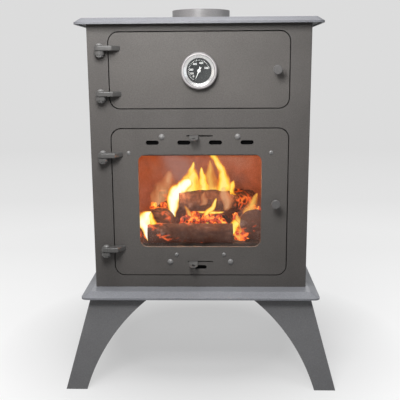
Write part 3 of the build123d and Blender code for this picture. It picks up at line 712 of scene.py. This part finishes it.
ember = {
    "scale": 62.0,
    "glow": 1.25,
    "stops": ((0.36, (0.03, 0.004, 0.0)), (0.47, (0.55, 0.035, 0.005)), (0.56, (1.0, 0.20, 0.015)),
              (0.68, (1.0, 0.62, 0.10))),
    "coal": (0.05, 0.03, 0.025),
    "pitBump": 0.8,
    "pitDepth": 0.003,
    "roughness": 0.95,
}
emberBed = {
    "count": 95,
    "sizes": (0.007, 0.015),
    "across": (-0.165, 0.165),
    "back": (-0.100, 0.120),
    "sink": 0.9,               # height of a coal's middle, as a share of its size
    "heapSizes": (0.004, 0.008),
    "heapFlatness": 0.6,
    "turns": (0, 3),
    "depths": (0.6, 1.0),      # a coal's depth and height, as shares of its width
    "heights": (0.6, 0.95),
    "lumpScale": 120.0,
    "lump": 0.5,
}
# Each heap: x and z on the window's face, spread, count, and the depth where it lies
emberHeaps = (
    (-0.026, 0.340, 0.014, 16, -0.086),
    (0.030, 0.341, 0.018, 20, -0.086),
    (0.082, 0.344, 0.016, 18, -0.092),
    (0.088, 0.312, 0.012, 14, -0.100),
    (0.112, 0.366, 0.012, 14, -0.080),
    (-0.088, 0.374, 0.014, 14, -0.050),
)


def emberMaterial(spec):
    mat, tree, shader = startMaterial("emberCoal")
    heat = addNoise(tree, objectSpace(tree), spec["scale"], detail=5.0, rough=0.6, distortion=0.5)
    colour = addRamp(tree, heat, spec["stops"])
    tree.links.new(colour, shader.inputs["Emission Color"])
    shader.inputs["Emission Strength"].default_value = spec["glow"]
    shader.inputs["Base Color"].default_value = opaque(spec["coal"])
    shader.inputs["Roughness"].default_value = spec["roughness"]
    addBump(tree, shader, heat, spec["pitBump"], spec["pitDepth"])
    return mat


def emberSpots(spec):
    spots = []
    for _ in range(spec["count"]):
        size = random.uniform(*spec["sizes"])
        x = random.uniform(*spec["across"])
        y = random.uniform(*spec["back"])
        spots.append((Vector((x, y, grateTop + size * spec["sink"])), size))
    for x, z, spread, count, depth in emberHeaps:
        for _ in range(count):
            sideways = random.uniform(-spread, spread)
            upwards = random.uniform(-spread, spread) * spec["heapFlatness"]
            spots.append((seenAt(x + sideways, z + upwards, depth), random.uniform(*spec["heapSizes"])))
    return spots


def buildEmbers(spec, material):
    bm = bmesh.new()
    for centre, size in emberSpots(spec):
        made = bmesh.ops.create_icosphere(bm, subdivisions=2, radius=size)
        turn = Euler([random.uniform(*spec["turns"]) for _ in range(3)]).to_matrix().to_4x4()
        depth = random.uniform(*spec["depths"])
        height = random.uniform(*spec["heights"])
        squeeze = Matrix.Diagonal((1.0, depth, height, 1.0))
        place = Matrix.Translation(centre) @ turn @ squeeze
        bmesh.ops.transform(bm, matrix=place, verts=made["verts"])
        for vert in made["verts"]:
            lump = noise.noise(vert.co * spec["lumpScale"]) * spec["lump"]
            vert.co += (vert.co - centre) * lump
    finishPiece(bm, "emberBed", material, "root")


buildEmbers(emberBed, emberMaterial(ember))
print("embers laid")


# Flames: thin sheets that carry their own heat, hot and dense in the middle and clear at the edge

flameKinds = {
    "yellow": {
        "wispScale": 55.0, "stir": 0.30, "glow": 1.15,
        "stops": ((0.05, (0.80, 0.10, 0.01)), (0.25, (1.0, 0.22, 0.015)), (0.50, (1.0, 0.46, 0.03)),
                  (0.78, (1.0, 0.76, 0.08)), (1.0, (1.0, 0.84, 0.22))),
        "cover": ((0.05, 0.0), (0.30, 0.45), (0.60, 0.92)),
    },
    "hot": {
        "wispScale": 50.0, "stir": 0.20, "glow": 1.30,
        "stops": ((0.05, (0.85, 0.12, 0.01)), (0.25, (1.0, 0.32, 0.02)), (0.45, (1.0, 0.66, 0.09)),
                  (0.68, (1.0, 0.86, 0.42)), (0.9, (1.0, 0.95, 0.80))),
        "cover": ((0.04, 0.0), (0.26, 0.5), (0.52, 0.95)),
    },
    "orange": {
        "wispScale": 60.0, "stir": 0.26, "glow": 0.95,
        "stops": ((0.05, (0.60, 0.08, 0.01)), (0.5, (0.95, 0.28, 0.03)), (1.0, (1.0, 0.55, 0.10))),
        "cover": ((0.08, 0.0), (0.5, 0.45), (1.0, 0.85)),
    },
    "pale": {
        "wispScale": 48.0, "stir": 0.25, "glow": 0.92,
        "stops": ((0.05, (0.65, 0.12, 0.04)), (0.5, (0.95, 0.34, 0.12)), (1.0, (1.0, 0.50, 0.24))),
        "cover": ((0.08, 0.0), (0.5, 0.30), (1.0, 0.60)),
    },
    # The smoke's glow is painted light: the fire's light on the haze, emitted by the sheet
    "smoke": {
        "wispScale": 20.0, "stir": 0.30, "glow": 0.42,
        "stops": ((0.05, (0.60, 0.26, 0.20)), (1.0, (0.85, 0.55, 0.50))),
        "cover": ((0.10, 0.0), (0.9, 0.42)),
    },
}
# Each flame: points (x, z, half width) on the window's face, in millimetres, and its depth in metres
flames = (
    {"name": "flameCrescent", "kind": "hot", "depth": -0.060, "points": (
        (-54, 352, 2), (-56, 362, 7), (-56, 376, 12), (-55, 392, 14), (-49, 406, 14), (-38, 416, 13),
        (-27, 424, 12), (-18, 430, 7))},
    {"name": "flameMain", "kind": "yellow", "depth": -0.040, "points": (
        (-20, 402, 27), (-21, 416, 26), (-20, 430, 20), (-15, 446, 12), (-13, 458, 5), (-12, 469, 1))},
    {"name": "flameMiddle", "kind": "yellow", "depth": -0.034, "points": (
        (7, 404, 19), (7, 418, 15), (5, 432, 9), (4, 446, 5), (3, 458, 1))},
    {"name": "flameRed", "kind": "orange", "depth": -0.028, "points": (
        (26, 402, 22), (25, 420, 18), (23, 440, 13), (22, 454, 8), (21, 474, 2))},
    {"name": "flameBase", "kind": "yellow", "depth": -0.030, "points": (
        (-40, 404, 2), (-20, 408, 9), (6, 408, 11), (30, 407, 11), (52, 404, 9), (66, 400, 2))},
    {"name": "flameTall", "kind": "yellow", "depth": -0.046, "points": (
        (48, 402, 15), (50, 416, 16), (50, 432, 13), (47, 446, 10), (41, 460, 8), (34, 472, 8),
        (28, 484, 8), (22, 500, 7))},
    {"name": "flameWing", "kind": "yellow", "depth": -0.040, "points": (
        (60, 402, 14), (64, 412, 11), (68, 420, 8), (72, 430, 1))},
    {"name": "flameTail", "kind": "yellow", "depth": -0.052, "points": (
        (44, 406, 6), (56, 403, 6), (66, 399, 5), (76, 395, 3), (84, 393, 1))},
    {"name": "flameCurl", "kind": "yellow", "depth": -0.082, "points": (
        (11, 346, 2), (12, 354, 5), (15, 362, 6), (22, 369, 6), (29, 379, 4), (34, 392, 1))},
    {"name": "flameStreak", "kind": "yellow", "depth": -0.080, "points": (
        (-8, 362, 1), (4, 361, 3), (18, 361, 4), (34, 361, 3), (50, 362, 1))},
    {"name": "flameSpot", "kind": "yellow", "depth": -0.084, "points": (
        (14, 332, 2), (17, 338, 5), (19, 345, 4), (20, 353, 1))},
    {"name": "flameLowLeft", "kind": "orange", "depth": -0.080, "points": (
        (-20, 346, 3), (-22, 356, 6), (-26, 366, 5), (-33, 378, 1))},
    {"name": "flameEdge", "kind": "hot", "depth": -0.118, "points": (
        (-111, 300, 1), (-113, 314, 5), (-116, 328, 10), (-117, 342, 20), (-110, 354, 14), (-104, 364, 2))},
    {"name": "flameEdgeSide", "kind": "yellow", "depth": -0.122, "points": (
        (-104, 330, 4), (-101, 342, 9), (-101, 354, 6), (-103, 362, 1))},
    {"name": "flameRight", "kind": "yellow", "depth": -0.096, "points": (
        (72, 314, 2), (71, 324, 7), (74, 334, 9), (82, 341, 9), (92, 345, 6), (100, 349, 1))},
    {"name": "flameRightLow", "kind": "orange", "depth": -0.098, "points": (
        (74, 302, 4), (80, 310, 9), (86, 320, 11), (86, 334, 9), (80, 348, 6), (76, 358, 1))},
    {"name": "flameRightEdge", "kind": "orange", "depth": -0.090, "points": (
        (92, 352, 3), (98, 360, 9), (106, 370, 12), (112, 382, 10), (116, 396, 5), (118, 404, 1))},
    {"name": "paleFront", "kind": "pale", "depth": -0.090, "points": (
        (54, 366, 4), (58, 378, 11), (57, 392, 13), (50, 404, 12), (44, 414, 3))},
    {"name": "paleMiddle", "kind": "pale", "depth": -0.094, "points": (
        (2, 376, 2), (8, 384, 8), (8, 394, 7), (10, 406, 1))},
    {"name": "paleLeft", "kind": "pale", "depth": 0.040, "points": (
        (-96, 368, 12), (-84, 388, 24), (-74, 410, 24), (-66, 432, 16), (-62, 450, 4))},
    # Painted light: a haze lit by the fire, drawn as a glowing sheet
    {"name": "smokeTop", "kind": "smoke", "depth": 0.060, "points": (
        (-10, 420, 20), (-26, 440, 34), (-46, 460, 40), (-56, 480, 36), (-62, 500, 30))},
)
flameSheet = {
    "finer": 6,                # steps between two points of a flame
    "across": 12,
    "spill": 1.25,             # how much wider a sheet is than its flame, because its edge is clear
    "softEdge": 1.7,           # power by which the heat falls from the middle to the edge
    "endHeat": 0.45,           # share of the heat at the two ends, which is whole after so many steps
    "rootSteps": 4,
    "tipSteps": 3,
    "bulge": 0.6,              # towards the window, as a share of the half width
    "flickerScale": 60.0,
    "flicker": 0.004,
}


def flameMaterial(name, spec):
    mat, tree, shader = startMaterial(name)
    heat = addNode(tree, "ShaderNodeAttribute", attribute_name="fireHeat")
    drawnUp = objectSpace(tree, scale=(1, 1, 0.4))
    wisps = addNoise(tree, drawnUp, spec["wispScale"], distortion=0.8)
    stirred = addNode(tree, "ShaderNodeMath", operation="ADD")
    tree.links.new(heat.outputs["Fac"], stirred.inputs[0])
    tree.links.new(addRange(tree, wisps, -spec["stir"], spec["stir"], 0.3, 0.7), stirred.inputs[1])
    tree.links.new(addRamp(tree, stirred.outputs["Value"], spec["stops"]), shader.inputs["Emission Color"])
    tree.links.new(addToneRamp(tree, stirred.outputs["Value"], spec["cover"]), shader.inputs["Alpha"])
    shader.inputs["Emission Strength"].default_value = spec["glow"]
    shader.inputs["Base Color"].default_value = (0.0, 0.0, 0.0, 1.0)
    shader.inputs["Specular IOR Level"].default_value = 0.0
    return mat


def smoothSpine(corners, finer):
    # A curve through the corners, with the half width going evenly from one to the next
    spine = []
    for index in range(len(corners) - 1):
        before = corners[max(index - 1, 0)][0]
        (first, firstHalf), (second, secondHalf) = corners[index], corners[index + 1]
        after = corners[min(index + 2, len(corners) - 1)][0]
        for step in range(finer):
            share = step / finer
            spot = (first * 2 + (second - before) * share
                    + (before * 2 - first * 5 + second * 4 - after) * share ** 2
                    + (first * 3 - before - second * 3 + after) * share ** 3) / 2
            spine.append((spot, firstHalf + (secondHalf - firstHalf) * share))
    spine.append(corners[-1])
    return spine


def buildFlame(spec, material):
    # A sheet across the window's view that bulges towards the window
    sheet = flameSheet
    corners = [(seenAt(x / 1000, z / 1000, spec["depth"]), half / 1000) for x, z, half in spec["points"]]
    spine = smoothSpine(corners, sheet["finer"])
    last = len(spine) - 1
    bm = bmesh.new()
    bmesh.ops.create_grid(bm, x_segments=last, y_segments=sheet["across"], size=0.5)
    heat = bm.verts.layers.float.new("fireHeat")
    for vert in bm.verts:
        along = round((vert.co.x + 0.5) * last)
        side = vert.co.y * 2
        spot, half = spine[along]
        ahead = spine[min(along + 1, last)][0] - spine[max(along - 1, 0)][0]
        outward = Vector((ahead.z, 0, -ahead.x)).normalized()
        inside = min(1.0, along / sheet["rootSteps"], (last - along) / sheet["tipSteps"])
        lasting = sheet["endHeat"] + (1 - sheet["endHeat"]) * inside
        vert[heat] = (1 - abs(side) ** sheet["softEdge"]) * lasting
        flicker = noise.noise(spot * sheet["flickerScale"]) * sheet["flicker"]
        forward = Vector((0, (1 - side * side) * half * sheet["bulge"], 0))
        vert.co = spot + outward * (side * half * sheet["spill"] + flicker) - forward
    finishPiece(bm, spec["name"], material, "root")


burning = {kind: flameMaterial(kind + "Flame", spec) for kind, spec in flameKinds.items()}
for spec in flames:
    buildFlame(spec, burning[spec["kind"]])
print("flames lit:", len(flames))


# Lamps: one close above the front, the others soft and far, and two small ones in the fire

lamps = (
    {"name": "keyLamp", "place": (-0.12, -0.75, 0.99), "aim": (-0.02, -0.19, 0.76), "size": 0.34,
     "power": 7.2},
    {"name": "topLamp", "place": (0.0, -0.3, 2.4), "aim": (0.0, -0.1, 0.5), "size": 1.4, "power": 30.0},
    {"name": "leftLamp", "place": (-2.2, -1.4, 1.0), "aim": (0.0, 0.0, 0.4), "size": 1.2, "power": 3.4,
     "colour": (1.0, 0.92, 0.86)},
    {"name": "rightLamp", "place": (2.2, -1.2, 0.9), "aim": (0.0, 0.0, 0.4), "size": 1.2, "power": 4.2,
     "colour": (0.82, 0.91, 1.0)},
    {"name": "backLamp", "place": (0.0, 2.8, 2.0), "aim": (0.0, 0.0, 0.5), "size": 1.4, "power": 26.0},
)
fireGlow = {
    "places": {"fireGlowLeft": (-0.05, -0.10, 0.40), "fireGlowRight": (0.07, -0.10, 0.41)},
    "power": 0.55,
    "radius": 0.03,
    "colour": (1.0, 0.42, 0.15),
}


def buildLamps(specs):
    for spec in specs:
        data = bpy.data.lights.new(spec["name"], "AREA")
        data.shape = "SQUARE"
        data.size = spec["size"]
        data.energy = spec["power"]
        data.color = spec.get("colour", (1.0, 1.0, 1.0))
        obj = bpy.data.objects.new(spec["name"], data)
        addToScene(obj)
        aim = Vector(spec["aim"]) - Vector(spec["place"])
        turn = aim.to_track_quat("-Z", "Y").to_matrix().to_4x4()
        obj.matrix_world = Matrix.Translation(spec["place"]) @ turn


def buildFireGlow(spec):
    for name, spot in spec["places"].items():
        data = bpy.data.lights.new(name, "POINT")
        data.energy = spec["power"]
        data.color = spec["colour"]
        data.shadow_soft_size = spec["radius"]
        obj = bpy.data.objects.new(name, data)
        addToScene(obj)
        obj.location = spot


buildLamps(lamps)
buildFireGlow(fireGlow)
print("lamps placed:", len(lamps) + len(fireGlow["places"]))


# Studio: white floor near the stove, pale grey far behind, with a painted soft shadow between the legs

studio = {
    "ambient": (0.80, 0.81, 0.83),
    "ambientStrength": 0.12,
    "farGrey": (0.716, 0.716, 0.716),
    # Tone of the floor at each share of its depth behind the origin
    "depth": 4.0,
    "tones": ((0.0, 1.0), (0.065, 0.965), (0.20, 0.855), (0.42, 0.768), (0.92, 0.716)),
    # The floor's own shading shows this much near the middle, and fades out over these metres
    "shadowShare": 0.25,
    "shadowFrom": 0.45,
    "shadowTo": 1.3,
    "matte": (0.85, 0.85, 0.85),
    # Painted soft shadow between the legs, by distance from the middle
    "paintedShadowTone": 0.64,
    "paintedShadowFrom": 0.20,
    "paintedShadowTo": 0.50,
    "bounce": (0.40, 0.40, 0.40),         # what the floor sends back up on the stove
    "floorSize": 14.0,
}


def seenRays(tree):
    # 1 for rays from the camera, and for those that metal and glass send on
    path = addNode(tree, "ShaderNodeLightPath")
    first = addNode(tree, "ShaderNodeMath", operation="MAXIMUM")
    second = addNode(tree, "ShaderNodeMath", operation="MAXIMUM")
    tree.links.new(path.outputs["Is Camera Ray"], first.inputs[0])
    tree.links.new(path.outputs["Is Glossy Ray"], first.inputs[1])
    tree.links.new(first.outputs["Value"], second.inputs[0])
    tree.links.new(path.outputs["Is Transmission Ray"], second.inputs[1])
    return second.outputs["Value"]


def buildWorld(spec):
    world = bpy.data.worlds.new("studioWorld")
    bpy.context.scene.world = world
    world.use_nodes = True
    tree = world.node_tree
    shown = tree.nodes["Background"]
    shown.inputs["Color"].default_value = opaque(spec["farGrey"])
    light = addNode(tree, "ShaderNodeBackground")
    light.inputs["Color"].default_value = opaque(spec["ambient"])
    light.inputs["Strength"].default_value = spec["ambientStrength"]
    mix = addNode(tree, "ShaderNodeMixShader")
    tree.links.new(seenRays(tree), mix.inputs["Fac"])
    tree.links.new(light.outputs["Background"], mix.inputs[1])
    tree.links.new(shown.outputs["Background"], mix.inputs[2])
    tree.links.new(mix.outputs["Shader"], tree.nodes["World Output"].inputs["Surface"])


def floorMaterial(spec):
    # What the camera sees is the tone with its painted shadow and a share of the shading; what lights the
    # stove is the bounce
    mat = bpy.data.materials.new("studioFloor")
    mat.use_nodes = True
    tree = mat.node_tree
    tree.nodes.remove(tree.nodes["Principled BSDF"])
    coords = addNode(tree, "ShaderNodeTexCoord")
    split = addNode(tree, "ShaderNodeSeparateXYZ")
    tree.links.new(coords.outputs["Object"], split.inputs["Vector"])
    backward = addRange(tree, split.outputs["Y"], 0.0, 1.0, 0.0, spec["depth"])
    tone = addToneRamp(tree, backward, spec["tones"])
    away = addNode(tree, "ShaderNodeVectorMath", operation="LENGTH")
    tree.links.new(coords.outputs["Object"], away.inputs[0])
    # Painted shadow: the floor's tone darkens towards the middle, between the legs
    paintedShadow = addRange(tree, away.outputs["Value"], spec["paintedShadowTone"], 1.0, spec["paintedShadowFrom"], spec["paintedShadowTo"])
    glow = addNode(tree, "ShaderNodeEmission")
    tree.links.new(mixColours(tree, 1.0, tone, paintedShadow, "MULTIPLY"), glow.inputs["Color"])
    matte = addNode(tree, "ShaderNodeBsdfDiffuse")
    matte.inputs["Color"].default_value = opaque(spec["matte"])
    share = addRange(tree, away.outputs["Value"], 1 - spec["shadowShare"], 1.0,
                     spec["shadowFrom"], spec["shadowTo"])
    soften = addNode(tree, "ShaderNodeMixShader")
    tree.links.new(share, soften.inputs["Fac"])
    tree.links.new(matte.outputs["BSDF"], soften.inputs[1])
    tree.links.new(glow.outputs["Emission"], soften.inputs[2])
    bounce = addNode(tree, "ShaderNodeBsdfDiffuse")
    bounce.inputs["Color"].default_value = opaque(spec["bounce"])
    pick = addNode(tree, "ShaderNodeMixShader")
    tree.links.new(seenRays(tree), pick.inputs["Fac"])
    tree.links.new(bounce.outputs["BSDF"], pick.inputs[1])
    tree.links.new(soften.outputs["Shader"], pick.inputs[2])
    tree.links.new(pick.outputs["Shader"], tree.nodes["Material Output"].inputs["Surface"])
    return mat


def buildFloor(spec):
    bm = bmesh.new()
    bmesh.ops.create_grid(bm, x_segments=2, y_segments=2, size=spec["floorSize"])
    mesh = bpy.data.meshes.new("studioFloor")
    bm.to_mesh(mesh)
    bm.free()
    mesh.materials.append(floorMaterial(spec))
    obj = bpy.data.objects.new("studioFloor", mesh)
    addToScene(obj)


buildWorld(studio)
buildFloor(studio)
bpy.context.scene.view_settings.view_transform = "Standard"
print("studio ready")
